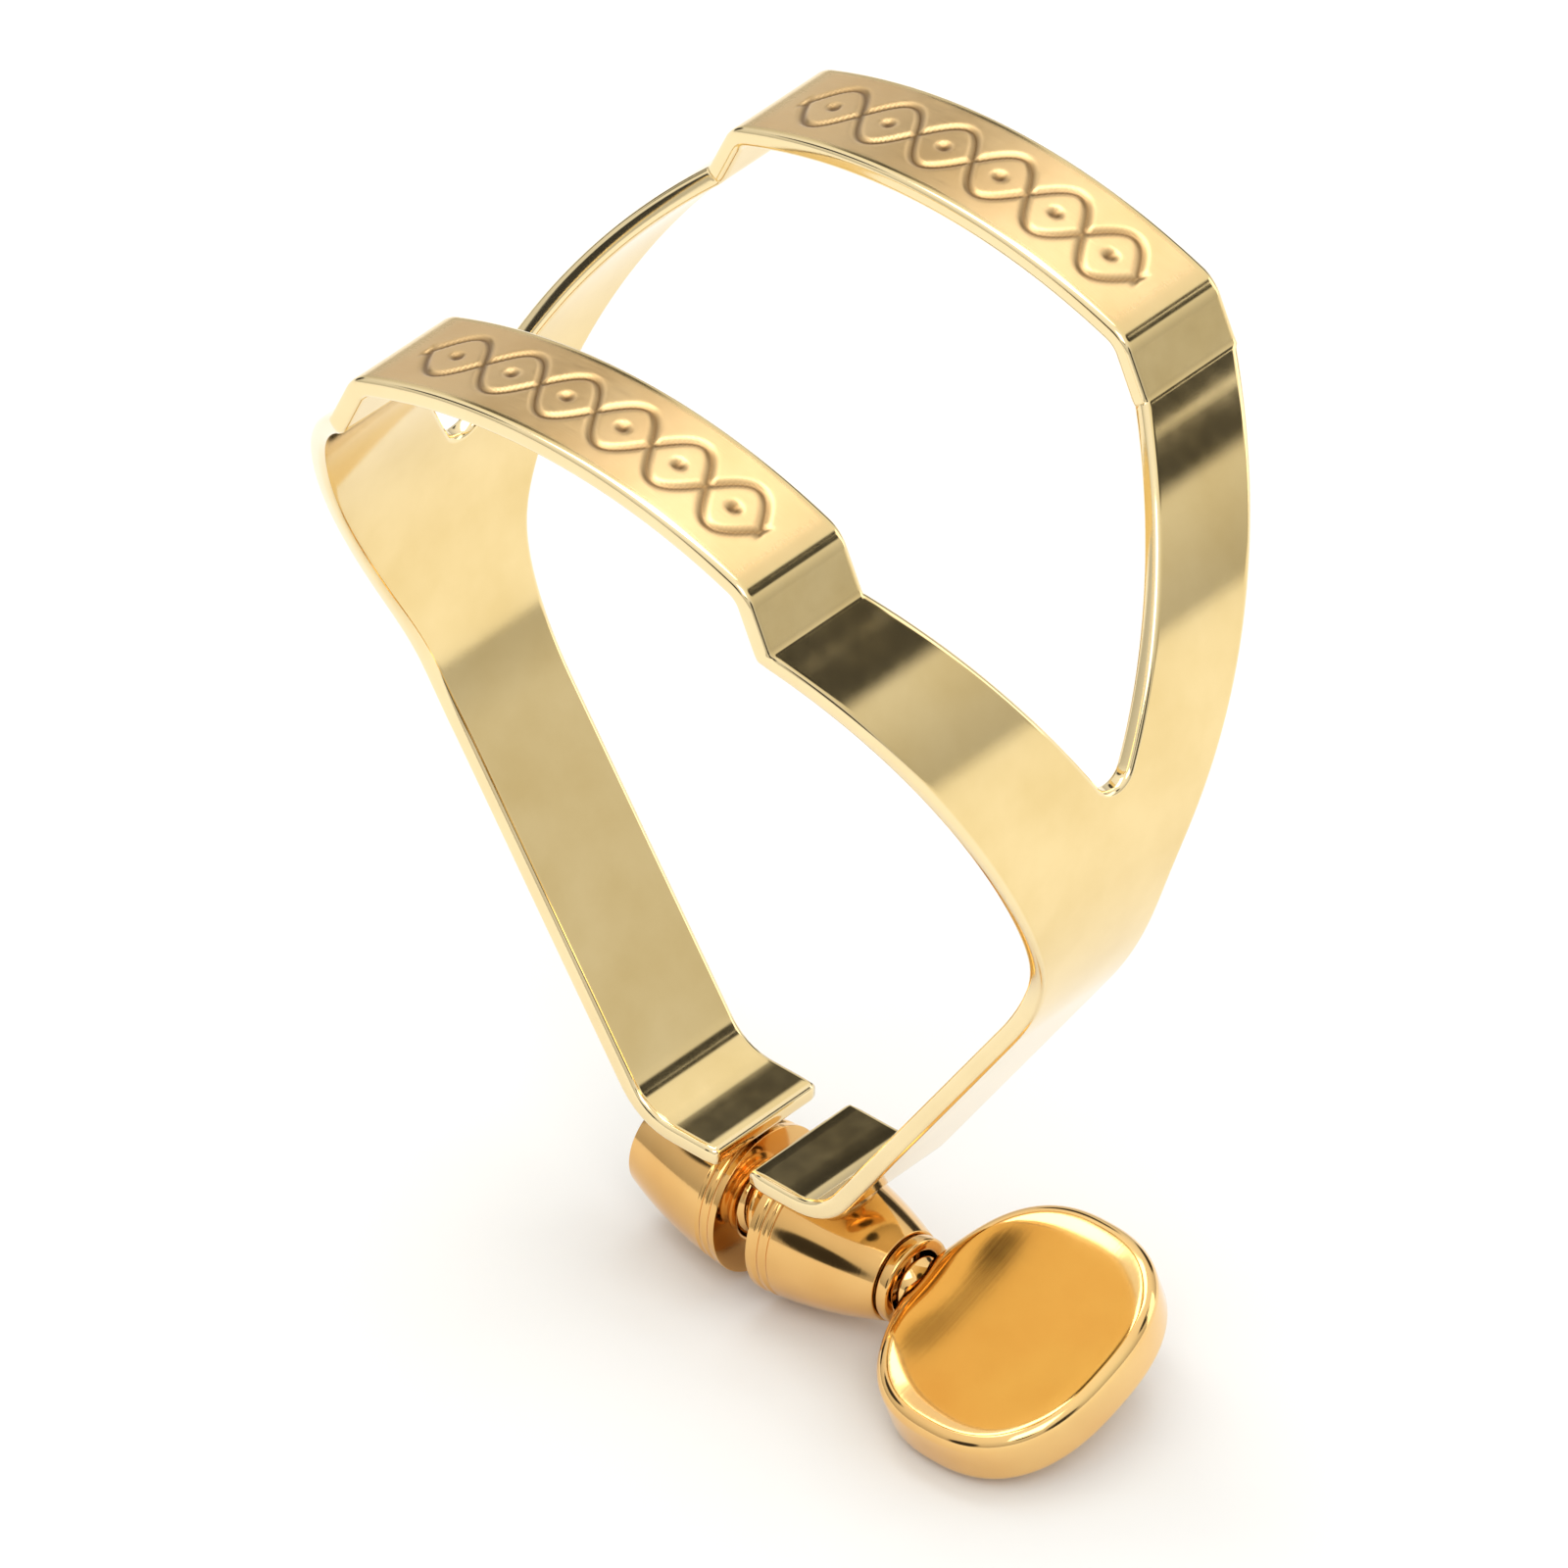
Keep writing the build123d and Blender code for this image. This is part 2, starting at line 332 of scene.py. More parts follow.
def inset_window_edge(up, side):
    """X of a window edge, moved into the sheet, at a height over the corner. side is -1 rear, +1 front."""
    tilt = REAR_TILT if side < 0 else FRONT_TILT
    if up <= CORNER_UP - CORNER_RADIUS * sin(tilt):
        half = sqrt(max(0, CORNER_RADIUS ** 2 - (CORNER_UP - up) ** 2))
        return CORNER_X + side * half
    up = min(up, WINDOW_HEIGHT)
    slant = 0 if up == WINDOW_HEIGHT else tilt
    return VERTEX_X + side * (up * tan(tilt) + EDGE_ROUND / cos(slant))


# ---------------------------------------------------------------- materials

def hex_colour(text):
    """A colour from its six hexadecimal digits, in the renderer's linear values."""
    values = [int(text[i:i + 2], 16) / 255 for i in (0, 2, 4)]
    linear = [v / 12.92 if v <= 0.04045 else ((v + 0.055) / 1.055) ** 2.4 for v in values]
    return (*linear, 1)


class Nodes:
    """A material's node tree, with short calls to add and link nodes."""

    def __init__(self, name):
        self.material = bpy.data.materials.new(name)
        self.material.use_nodes = True
        self.tree = self.material.node_tree
        self.shader = self.tree.nodes["Principled BSDF"]

    def set(self, name, value):
        """A constant or a link on one of the shader's sockets."""
        self.put(value, self.shader.inputs[name])

    def add(self, kind, inputs=None, **settings):
        node = self.tree.nodes.new(kind)
        for key, value in settings.items():
            setattr(node, key, value)
        for key, value in (inputs or {}).items():
            self.put(value, node.inputs[key])
        return node

    def put(self, value, socket):
        if isinstance(value, bpy.types.NodeSocket):
            self.tree.links.new(value, socket)
        else:
            socket.default_value = value

    def math(self, operation, first, second=0.0):
        node = self.add("ShaderNodeMath", {0: first, 1: second}, operation=operation)
        return node.outputs[0]

    def mix(self, share, first, second):
        node = self.add("ShaderNodeMix", data_type="RGBA")
        for index, value in ((0, share), (6, first), (7, second)):
            self.put(value, node.inputs[index])
        return node.outputs[2]

    def spread(self, value, low, high, to_low, to_high):
        inputs = {"Value": value, "From Min": low, "From Max": high, "To Min": to_low, "To Max": to_high}
        return self.add("ShaderNodeMapRange", inputs).outputs[0]

    def noise(self, vector, scale, stretch=(1, 1, 1), detail=3.0, roughness=0.5):
        mapped = self.add("ShaderNodeMapping", {"Vector": vector, "Scale": stretch}).outputs[0]
        inputs = {"Vector": mapped, "Scale": scale, "Detail": detail, "Roughness": roughness}
        return self.add("ShaderNodeTexNoise", inputs).outputs["Fac"]

    def tones(self, cloud, first, second, low=0.3):
        """A cloudy mix of two colours, given in hexadecimal digits."""
        return self.mix(self.spread(cloud, low, 0.7, 0, 1), hex_colour(first), hex_colour(second))

    def attribute(self, name):
        return self.add("ShaderNodeAttribute", attribute_name=name).outputs["Fac"]

    def bump(self, height, strength, distance, below=None):
        inputs = {"Height": height, "Strength": strength, "Distance": distance}
        if below is not None:
            inputs["Normal"] = below
        return self.add("ShaderNodeBump", inputs).outputs[0]


def sheet_brass():
    """Lacquered sheet: satin on the crown plates, polished elsewhere, with a painted highlight along the
    rounded edges and painted shade in the engraved grooves.
    """
    n = Nodes("lacquered_sheet")
    flat = n.add("ShaderNodeUVMap", uv_map="sheet").outputs[0]
    satin = n.attribute("satin")
    rim = n.attribute("rim")
    groove = n.attribute("groove")
    cloud = n.noise(flat, 0.35, detail=4)
    colour = n.mix(satin, n.tones(cloud, "e6ca8c", "f0d69c"), n.tones(cloud, "e6c086", "efcd96"))
    # painted highlight: the rounded edges of the sheet are mixed halfway to a pale cream
    colour = n.mix(n.math("MULTIPLY", rim, 0.5), colour, hex_colour("fbe9c0"))
    # painted shade: the engraved grooves are darkened towards a deep brown
    colour = n.mix(n.math("MULTIPLY", groove, 0.82), colour, hex_colour("6d4a1c"))
    brush = n.noise(flat, 9, stretch=(0.12, 3.0, 1), detail=3)
    speck = n.noise(flat, 14, detail=2)
    satin_rough = n.spread(brush, 0.25, 0.75, 0.30, 0.42)
    polish_rough = n.spread(n.noise(flat, 1.3, detail=2), 0.3, 0.7, 0.09, 0.115)
    satin_part = n.math("MULTIPLY", satin, satin_rough)
    polished_part = n.math("MULTIPLY", n.math("SUBTRACT", 1.0, satin), polish_rough)
    brushed = n.bump(n.math("MULTIPLY", brush, satin), 0.35, 0.012 * MM)
    n.set("Roughness", n.math("ADD", satin_part, polished_part))
    n.set("Base Color", colour)
    n.set("Normal", n.bump(speck, 0.05, 0.002 * MM, brushed))
    n.set("Metallic", 1.0)
    n.set("Coat Weight", 0.25)
    n.set("Coat Roughness", 0.08)
    return n.material


def turned_brass(name, dark, light, rough_low, rough_high, coat):
    """Turned or pressed brass under lacquer, with fine tool rings around the screw's axis."""
    n = Nodes(name)
    place = n.add("ShaderNodeTexCoord").outputs["Object"]
    cloud = n.noise(place, 260, detail=4)
    rings = n.noise(place, 1000, stretch=(0.12, 9.0, 0.12), detail=2)
    scratch = n.noise(place, 2400, stretch=(1.0, 0.15, 1.0), detail=3)
    wear = n.math("ADD", cloud, n.math("MULTIPLY", scratch, 0.4))
    ringed = n.bump(rings, 0.10, 0.006 * MM)
    n.set("Base Color", n.tones(cloud, dark, light))
    n.set("Roughness", n.spread(wear, 0.5, 0.95, rough_low, rough_high))
    n.set("Normal", n.bump(scratch, 0.05, 0.004 * MM, ringed))
    n.set("Metallic", 1.0)
    n.set("Coat Weight", coat)
    n.set("Coat Roughness", 0.05)
    return n.material


def silver_solder():
    """Pale grey solder, a little pitted, with brass showing through where it is thin."""
    n = Nodes("silver_solder")
    place = n.add("ShaderNodeTexCoord").outputs["Object"]
    cloud = n.noise(place, 900, detail=5)
    pits = n.noise(place, 4200, detail=3)
    n.set("Base Color", n.tones(cloud, "cfc7b4", "c9a264", low=0.35))
    n.set("Roughness", n.spread(pits, 0.3, 0.7, 0.24, 0.42))
    n.set("Normal", n.bump(pits, 0.35, 0.02 * MM))
    n.set("Metallic", 1.0)
    return n.material


# ---------------------------------------------------------------- meshes

def new_object(name, vertices, faces, material):
    """A smooth mesh object from points in millimetres, its faces all turned outwards."""
    mesh = bpy.data.meshes.new(name)
    mesh.from_pydata([tuple(v) for v in np.asarray(vertices) * MM], [], faces)
    work = bmesh.new()
    work.from_mesh(mesh)
    bmesh.ops.recalc_face_normals(work, faces=work.faces)
    work.to_mesh(mesh)
    work.free()
    mesh.shade_smooth()
    mesh.materials.append(material)
    obj = bpy.data.objects.new(name, mesh)
    bpy.context.scene.collection.objects.link(obj)
    return obj


def evenly_spaced(stretches):
    """Places along stretches given as (start, end, step), each without its end."""
    places = []
    for start, end, step in stretches:
        places += list(np.linspace(start, end, max(2, round((end - start) / step)), endpoint=False))
    return places


def tube_faces(rings, cells, first=0, end_faces=True):
    """Faces between rings of vertices that follow each other, and over the first and the last ring."""
    faces = []
    for i in range(rings - 1):
        a, b = first + i * cells, first + (i + 1) * cells
        for s in range(cells):
            t = (s + 1) % cells
            faces.append([a + s, a + t, b + t, b + s])
    if end_faces:
        for ring in (0, rings - 1):
            faces.append([first + ring * cells + s for s in range(cells)])
    return faces


class Sheet:
    """The whole band as one mesh: an outer and an inner grid with rounded rims between them."""

    def __init__(self):
        self.points = []
        self.marks = []            # (satin, rim, groove, along, across) of each vertex
        self.faces = []
        self.face_rows = []
        self.make_rows()
        self.make_grids()
        self.make_rims()

    def make_rows(self):
        """Place, outward normal and outline of every row across the sheet, from foot to foot."""
        path, side_start = band_half_path()
        along = lengths_along(path)
        tangent = np.gradient(path, along, axis=0)
        tangent /= np.linalg.norm(tangent, axis=1)[:, None]
        corner_base = side_start + MID_RADIUS * radians(VERTEX_ANGLE - LOWER_ANGLE)
        thicker = MID_RADIUS / OUTER_RADIUS
        bottom = corner_base + WINDOW_BOTTOM * thicker
        corner_ups = [CORNER_UP - CORNER_RADIUS * cos(radians(turn)) for turn in CORNER_TURNS]
        corner_rows = [corner_base + up * thicker for up in corner_ups]
        joggle = side_start + MID_RADIUS * radians(JOGGLE_ANGLE - LOWER_ANGLE)
        below_window = [
            (0, FOOT_BEND_FROM, SIDE_STEP),
            (FOOT_BEND_FROM, FOOT_BEND_TO, FINE_STEP),
            (FOOT_BEND_TO, bottom - UNDER_CORNER, SIDE_STEP),
            (bottom - UNDER_CORNER, bottom, FINE_STEP),
        ]
        beside_window = [
            (corner_rows[-1], joggle - BEFORE_JOGGLE, SIDE_STEP),
            (joggle - BEFORE_JOGGLE, joggle + PAST_JOGGLE, FINE_STEP / 2),
            (joggle + PAST_JOGGLE, along[-1], PLATE_STEP),
        ]
        rows = evenly_spaced(below_window) + corner_rows[:-1] + evenly_spaced(beside_window)
        rows.append(along[-1])
        half = []
        for t in rows:
            y, z = (np.interp(t, along, path[:, axis]) for axis in (0, 1))
            ty, tz = (np.interp(t, along, tangent[:, axis]) for axis in (0, 1))
            angle = LOWER_ANGLE + degrees((t - side_start) / MID_RADIUS)
            is_open = t >= bottom - NEAR_ZERO
            from_top = t - along[-1]
            half.append({"t": t, "y": y, "z": z, "ny": -tz, "nz": ty, "angle": angle,
                         "from_top": from_top, "open": is_open})
        other = [{**row, "y": -row["y"], "ny": -row["ny"], "from_top": -row["from_top"]}
                 for row in half[-2::-1]]
        self.rows = half + other
        self.first_open = next(i for i, row in enumerate(self.rows) if row["open"])
        self.last_open = len(self.rows) - 1 - self.first_open
        self.split_row = next(i for i, row in enumerate(self.rows) if row["angle"] >= SPLIT_ANGLE)

    def row_outline(self, row):
        """X of the rear strap's two edges and the front strap's two edges."""
        angle = row["angle"]
        rear = -inset_outer_edge(angle, REAR_PLATE[0], REAR_LEAN)
        front = inset_outer_edge(angle, FRONT_PLATE[1], FRONT_LEAN)
        up = OUTER_RADIUS * radians(angle - VERTEX_ANGLE)
        if row["open"]:
            return rear, inset_window_edge(up, -1), inset_window_edge(up, 1), front
        share = min(1, (WINDOW_BOTTOM - up) / WAIST_BLEND)
        middle = CORNER_X + ((rear + front) / 2 - CORNER_X) * eased(share)
        return rear, middle, middle, front

    def engraving(self, row, x, centre):
        """How deep the engraving is here, from 0 to 1."""
        u, v = row["from_top"], x - centre
        past_end = max(0, abs(u) - BRAID_LENGTH)
        if past_end > LINE_HALF:
            return 0
        wave = 2 * pi / BRAID_PITCH
        strand = BRAID_SWING * sin(wave * u)
        slope = hypot(1, BRAID_SWING * wave * cos(wave * u))
        eye = (floor(u / (BRAID_PITCH / 2)) + 0.5) * BRAID_PITCH / 2
        to_dot = max(0, hypot(u - eye, v) - DOT_RADIUS + LINE_HALF)
        nearest = min(abs(v - strand) / slope, abs(v + strand) / slope, to_dot)
        return eased(max(0, 1 - hypot(nearest, past_end) / LINE_HALF))

    def make_grids(self):
        """Vertices and faces of the outer and inner sides."""
        count = len(self.rows)
        self.outer = np.zeros((count, 2, STRAP_CELLS + 1), int)
        self.inner = np.zeros((count, 2, STRAP_CELLS + 1), int)
        for i, row in enumerate(self.rows):
            edges = self.row_outline(row)
            normal = np.array([0, row["ny"], row["nz"]])
            plate = min(1, max(0, (row["angle"] - PLATE_END_ANGLE - SATIN_START) / SATIN_RUN))
            for strap in (0, 1):
                low, high = edges[2 * strap], edges[2 * strap + 1]
                centre = (low + high) / 2
                for j in range(STRAP_CELLS + 1):
                    shared = strap == 1 and j == 0 and low == edges[1]
                    if shared:
                        self.outer[i, 1, 0] = self.outer[i, 0, STRAP_CELLS]
                        self.inner[i, 1, 0] = self.inner[i, 0, STRAP_CELLS]
                        continue
                    x = low + (high - low) * j / STRAP_CELLS
                    cut = self.engraving(row, x, centre) if plate == 1 else 0
                    place = np.array([x, row["y"], row["z"]])
                    satin = plate * min(1, min(j, STRAP_CELLS - j) / SATIN_MARGIN)
                    lift = SHEET / 2 - ENGRAVING_DEPTH * cut
                    self.outer[i, strap, j] = self.vertex(place + normal * lift, satin, 0, cut, row["t"], x)
                    self.inner[i, strap, j] = self.vertex(place - normal * SHEET / 2, 0, 0, 0, row["t"], x)
        for i in range(count - 1):
            for strap in (0, 1):
                for j in range(STRAP_CELLS):
                    for grid in (self.outer, self.inner):
                        quad = [grid[i, strap, j], grid[i, strap, j + 1],
                                grid[i + 1, strap, j + 1], grid[i + 1, strap, j]]
                        self.face(quad, i)

    def vertex(self, place, satin, rim, groove, along, across):
        self.points.append(place)
        self.marks.append((satin, rim, groove, along, across))
        return len(self.points) - 1

    def face(self, corners, row):
        self.faces.append([int(c) for c in corners])
        self.face_rows.append(row)

    def make_rims(self):
        """Rounded edges around the outside and around the window."""
        last = len(self.rows) - 1
        cells = STRAP_CELLS
        outside = [(i, 0, 0) for i in range(last + 1)]
        outside += [(last, 0, j) for j in range(1, cells + 1)] + [(last, 1, j) for j in range(1, cells + 1)]
        outside += [(i, 1, cells) for i in range(last - 1, -1, -1)]
        outside += [(0, 1, j) for j in range(cells - 1, 0, -1)] + [(0, 0, j) for j in range(cells, 0, -1)]
        window = [(i, 0, cells) for i in range(self.first_open, self.last_open + 1)]
        window += [(i, 1, 0) for i in range(self.last_open - 1, self.first_open, -1)]
        self.rings = {}
        for loop, sign in ((outside, -1), (window, 1)):
            outer = np.array([self.points[self.outer[key]] for key in loop])
            inner = np.array([self.points[self.inner[key]] for key in loop])
            middles = (outer + inner) / 2
            ahead, behind = np.roll(middles, -1, axis=0), np.roll(middles, 1, axis=0)
            forward = (ahead - middles) / np.linalg.norm(ahead - middles, axis=1)[:, None]
            backward = (middles - behind) / np.linalg.norm(middles - behind, axis=1)[:, None]
            for key, tangent in zip(loop, forward + backward):
                row = self.rows[key[0]]
                normal = np.array([0, row["ny"], row["nz"]])
                outward = sign * np.cross(tangent, normal)
                outward /= np.linalg.norm(outward)
                self.rings[key] = self.make_ring(key, row, normal, outward)
            for first, second in zip(loop, loop[1:] + loop[:1]):
                for k in range(2 * EDGE_RINGS + 1):
                    a, b = self.rings[first], self.rings[second]
                    self.face([a[k], b[k], b[k + 1], a[k + 1]], min(first[0], second[0]))

    def make_ring(self, key, row, normal, outward):
        """The vertices across the sheet's edge at one place, from the outer to the inner side."""
        outer, inner = self.points[self.outer[key]], self.points[self.inner[key]]
        across = outer[0]
        turns = [pi / 2 * (k + 1) / EDGE_RINGS for k in range(EDGE_RINGS)]
        ring = [self.outer[key]]
        for turn in turns:
            move = EDGE_ROUND * (sin(turn) * outward - (1 - cos(turn)) * normal)
            ring.append(self.vertex(outer + move, 0, 1, 0, row["t"], across))
        for turn in turns[::-1]:
            move = EDGE_ROUND * (sin(turn) * outward + (1 - cos(turn)) * normal)
            ring.append(self.vertex(inner + move, 0, 1, 0, row["t"], across))
        return ring + [self.inner[key]]

    def caps(self, row):
        """Closing faces across the two straps at a row."""
        closing = []
        for strap in (0, 1):
            left, right = self.rings[(row, strap, 0)], self.rings[(row, strap, STRAP_CELLS)]
            loop = list(self.outer[row, strap]) + right[1:-1] + list(self.inner[row, strap][::-1])
            closing.append([int(v) for v in loop + left[-2:0:-1]])
        return closing

    def piece(self, name, rows, whole_normals, material):
        """The faces of these rows as an object of their own, shaded as in the whole sheet."""
        faces = [f for f, row in zip(self.faces, self.face_rows) if row in rows] + self.caps(self.split_row)
        used = sorted({v for f in faces for v in f})
        place_of = {v: i for i, v in enumerate(used)}
        points = [self.points[v] for v in used]
        obj = new_object(name, points, [[place_of[v] for v in f] for f in faces], material)
        mesh = obj.data
        for index, label in enumerate(("satin", "rim", "groove")):
            values = np.array([self.marks[v][index] for v in used], np.float32)
            mesh.attributes.new(label, "FLOAT", "POINT").data.foreach_set("value", values)
        flat = np.array([self.marks[used[loop.vertex_index]][3:5] for loop in mesh.loops], np.float32)
        mesh.uv_layers.new(name="sheet").data.foreach_set("uv", flat.ravel())
        mesh.normals_split_custom_set_from_vertices([whole_normals[v] for v in used])
        return obj


def make_band(material):
    """The two visible pieces of the band: the crown with the far side, and the near side."""
    sheet = Sheet()
    whole = new_object("whole", sheet.points, sheet.faces, material)
    normals = [tuple(v.normal) for v in whole.data.vertices]
    bpy.data.objects.remove(whole)
    split = sheet.split_row
    last = len(sheet.rows)
    crown = sheet.piece("band_crown_and_far_side", range(split, last), normals, material)
    near = sheet.piece("band_near_side", range(split), normals, material)
    return crown, near, sheet.rows[split]["z"]


def around_screw(y, radius, angle):
    """A point at this distance from the screw's axis. The angle, in radians, goes from +X to +Z."""
    return (radius * cos(angle), y, SCREW_Z + radius * sin(angle))


def lathe(name, profile, material):
    """A turned piece with a bore, from a closed profile of (y, radius)."""
    points = [around_screw(y, r, 2 * pi * s / TURNS) for y, r in profile for s in range(TURNS)]
    faces = tube_faces(len(profile), TURNS, end_faces=False)
    last = (len(profile) - 1) * TURNS
    for s in range(TURNS):
        t = (s + 1) % TURNS
        faces.append([last + s, last + t, t, s])
    return new_object(name, points, faces, material)


def softened(corners):
    """A closed outline with its corners rounded. Corners are (y, radius) points."""
    outline = []
    count = len(corners)
    for i in range(count):
        before, here, after = (np.array(corners[(i + k) % count], float) for k in (-1, 0, 1))
        back, ahead = before - here, after - here
        reach_back, reach_ahead = np.linalg.norm(back), np.linalg.norm(ahead)
        cut = min(POST_EDGE_ROUND, reach_back * 0.45, reach_ahead * 0.45)
        start, end = here + back / reach_back * cut, here + ahead / reach_ahead * cut
        for share in ROUND_SHARES:
            outline.append(start * (1 - share) ** 2 + 2 * here * share * (1 - share) + end * share ** 2)
    return [tuple(p) for p in outline]


def post_profile(bore_radius, side):
    """Profile of a post as (y, radius): a bell with rounded edges and two turned grooves near the gap."""
    start = GAP / 2
    end = start + POST_LENGTH
    middle = (start + end) / 2
    bell = []
    for step in range(1, BELL_STEPS):
        y = start + POST_LENGTH * step / BELL_STEPS
        # the parabola through the bell's three radii
        first = (y - middle) * (y - end) / (start - middle) / (start - end)
        second = (y - start) * (y - end) / (middle - start) / (middle - end)
        third = (y - start) * (y - middle) / (end - start) / (end - middle)
        radius = POST_BIG_RADIUS * first + POST_MID_RADIUS * second + POST_END_RADIUS * third
        for place in POST_RING_AT:
            radius -= POST_RING_DEPTH * max(0, 1 - ((y - start - place) / POST_RING_HALF) ** 2)
        bell.append((y, radius))
    corners = [(start, bore_radius), (start, POST_BIG_RADIUS)] + bell
    corners += [(end, POST_END_RADIUS), (end, bore_radius)]
    return [(side * y, r) for y, r in softened(corners)]


def make_shank(material):
    """The screw's rod: plain in the near post, then threaded to its chamfered tip."""
    first, last = COLLAR_Y, SHANK_TIP_Y
    rows = int((last - first) / THREAD_PITCH * THREAD_ROWS)
    points = []
    for i in range(rows + 1):
        y = first + (last - first) * i / rows
        fade = min(1, max(0, (y - THREAD_START_Y) / THREAD_FADE))
        limit = SHANK_RADIUS - max(0, y - (last - TIP_CHAMFER))
        for s in range(SHANK_CELLS):
            angle = 2 * pi * s / SHANK_CELLS
            phase = (y / THREAD_PITCH + s / SHANK_CELLS) % 1
            valley = 1 - min(1, abs(2 * phase - 1) * THREAD_FLANK)
            radius = min(SHANK_RADIUS - THREAD_DEPTH * fade * valley, limit)
            points.append(around_screw(y, radius, angle))
    faces = tube_faces(rows + 1, SHANK_CELLS)
    return new_object("screw_shank_threaded", points, faces, material)


def foot_underside(y):
    """Height of the outer face of a foot and its bend, at a distance from the middle plane."""
    arm_top = on_circle(OUTER_RADIUS, LOWER_ANGLE)
    low = FOOT_Z - SHEET
    corner = -arm_top[0] - (arm_top[1] - low) * tan(radians(-LOWER_ANGLE))
    bend = FOOT_BEND + SHEET
    flat_end = corner - bend * tan(radians(90 + LOWER_ANGLE) / 2)
    past = max(0, y - flat_end)
    return low + bend - sqrt(bend * bend - past * past)


def solder_section(half, radius, top):
    """One side of the solder's section, as (x, z): hollow flanks, then the top of the post."""
    inner = SOLDER_FOOT_SHARE * half
    drop = SCREW_Z + sqrt(radius ** 2 - inner ** 2)
    section = []
    for k in range(SOLDER_SIDE_CELLS + 1):
        fall = sin(pi / 2 * k / SOLDER_SIDE_CELLS)
        section.append((half - (half - inner) * fall, drop + (top - drop) * (1 - fall) ** 1.3))
    for k in range(1, SOLDER_UNDER_CELLS + 1):
        x = inner * (1 - k / SOLDER_UNDER_CELLS)
        section.append((x, SCREW_Z + sqrt(radius ** 2 - x * x)))
    return section


def make_solder(name, side, post, material):
    """Solder drawn into the corner on both sides of the line where a foot lies on its post."""
    start = GAP / 2 + SADDLE_INSET
    outer_profile = sorted({(abs(y), r) for y, r in post if r > POST_END_RADIUS - 0.1})
    ys, radii = zip(*outer_profile)
    points = []
    for i in range(SOLDER_STATIONS + 1):
        share = i / SOLDER_STATIONS
        y = start + SADDLE_LENGTH * share
        swell = sqrt(max(0.0, 1 - abs(2 * share - 1) ** 3))
        half = SOLDER_END_HALF + (SADDLE_HALF_X - SOLDER_END_HALF) * swell
        radius = np.interp(y, ys, radii) - SOLDER_OVERLAP
        section = solder_section(half, radius, foot_underside(y) + SOLDER_OVERLAP)
        full = section + [(-x, z) for x, z in section[-2::-1]]
        points += [(x, side * y, z) for x, z in full]
    faces = tube_faces(SOLDER_STATIONS + 1, len(full))
    return new_object(name, points, faces, material)


def paddle_sections():
    """Rings of the paddle from its upper face to its lower one, as (share of the face, step out, z)."""
    half = PADDLE_THICK / 2
    upper = []
    for k in range(1, PADDLE_RINGS + 1):
        share = k / PADDLE_RINGS
        dish = (1 - share ** DISH_FLATNESS) ** DISH_SOFTNESS
        upper.append((share, 0.0, half - PADDLE_DISH_DEPTH * dish))
    for k in range(1, PADDLE_EDGE_RINGS + 1):
        turn = pi / 2 * k / PADDLE_EDGE_RINGS
        upper.append((1.0, PADDLE_EDGE_ROUND * sin(turn), half - PADDLE_EDGE_ROUND * (1 - cos(turn))))
    return upper + [(share, out, -z) for share, out, z in upper[::-1]]


def paddle_point(share, out, z, angle):
    """A point of the paddle about its own middle, drawn out to a nose at the neck."""
    inset_x, inset_y = PADDLE_HALF_X - PADDLE_EDGE_ROUND, PADDLE_HALF_Y - PADDLE_EDGE_ROUND
    power = 2 / PADDLE_SQUARENESS
    unit_x, unit_y = (copysign(abs(v) ** power, v) for v in (cos(angle), sin(angle)))
    lean_x, lean_y = (copysign(abs(v) ** (2 - power), v) for v in (cos(angle), sin(angle)))
    normal = Vector((lean_x / inset_x, lean_y / inset_y)).normalized()
    x = inset_x * share * unit_x + out * normal.x
    y = inset_y * share * unit_y + out * normal.y
    nose = exp(-(x / NOSE_HALF) ** 2) * max(0, y / PADDLE_HALF_Y) ** NOSE_POWER
    return (x, y + NOSE_LENGTH * nose, z * (1 - NOSE_THINNING * nose))


def make_paddle(material):
    """The oval thumb piece: dished on both faces, with a rounded edge, on a flared neck."""
    cells = PADDLE_CELLS
    middle = PADDLE_THICK / 2 - PADDLE_DISH_DEPTH
    sections = paddle_sections()
    points = [paddle_point(*section, 2 * pi * s / cells) for section in sections for s in range(cells)]
    faces = tube_faces(len(sections), cells, end_faces=False)
    upper, lower = len(points), len(points) + 1
    last = (len(sections) - 1) * cells
    points += [(0, 0, middle), (0, 0, -middle)]
    for s in range(cells):
        t = (s + 1) % cells
        faces += [[upper, s, t], [last + t, last + s, lower]]
    points = [(x, y + PADDLE_Y, z) for x, y, z in points]
    faces += tube_faces(NECK_ROWS + 1, NECK_CELLS, first=len(points))
    points += paddle_neck()
    c, s = cos(radians(PADDLE_TURN)), sin(radians(PADDLE_TURN))
    placed = [(x * c - z * s, y, SCREW_Z + x * s + z * c) for x, y, z in points]
    return new_object("thumb_paddle_dished", placed, faces, material)


def paddle_neck():
    """Rings of the neck: round at the collar, and flatter and wider where it runs into the oval."""
    points = []
    for i in range(NECK_ROWS + 1):
        share = i / NECK_ROWS
        y = NECK_Y - NECK_RUN * share
        waist = NECK_WAIST * sin(pi * min(1, share * NECK_WAIST_RATE))
        wide = NECK_RADIUS * (1 + NECK_WIDENING * share ** NECK_WIDENING_POWER) - waist
        thin = NECK_RADIUS * (1 - NECK_THINNING * min(1, share * NECK_THINNING_RATE)) - waist * 0.6
        for s in range(NECK_CELLS):
            angle = 2 * pi * s / NECK_CELLS
            points.append((wide * cos(angle), y, thin * sin(angle)))
    return points


# ---------------------------------------------------------------- the object

brass_sheet = sheet_brass()
brass_turned = turned_brass("turned_brass", "dfad66", "ecbf7a", 0.07, 0.15, 0.2)
brass_paddle = turned_brass("paddle_brass", "edbd76", "f5cd86", 0.06, 0.12, 0.35)
solder = silver_solder()

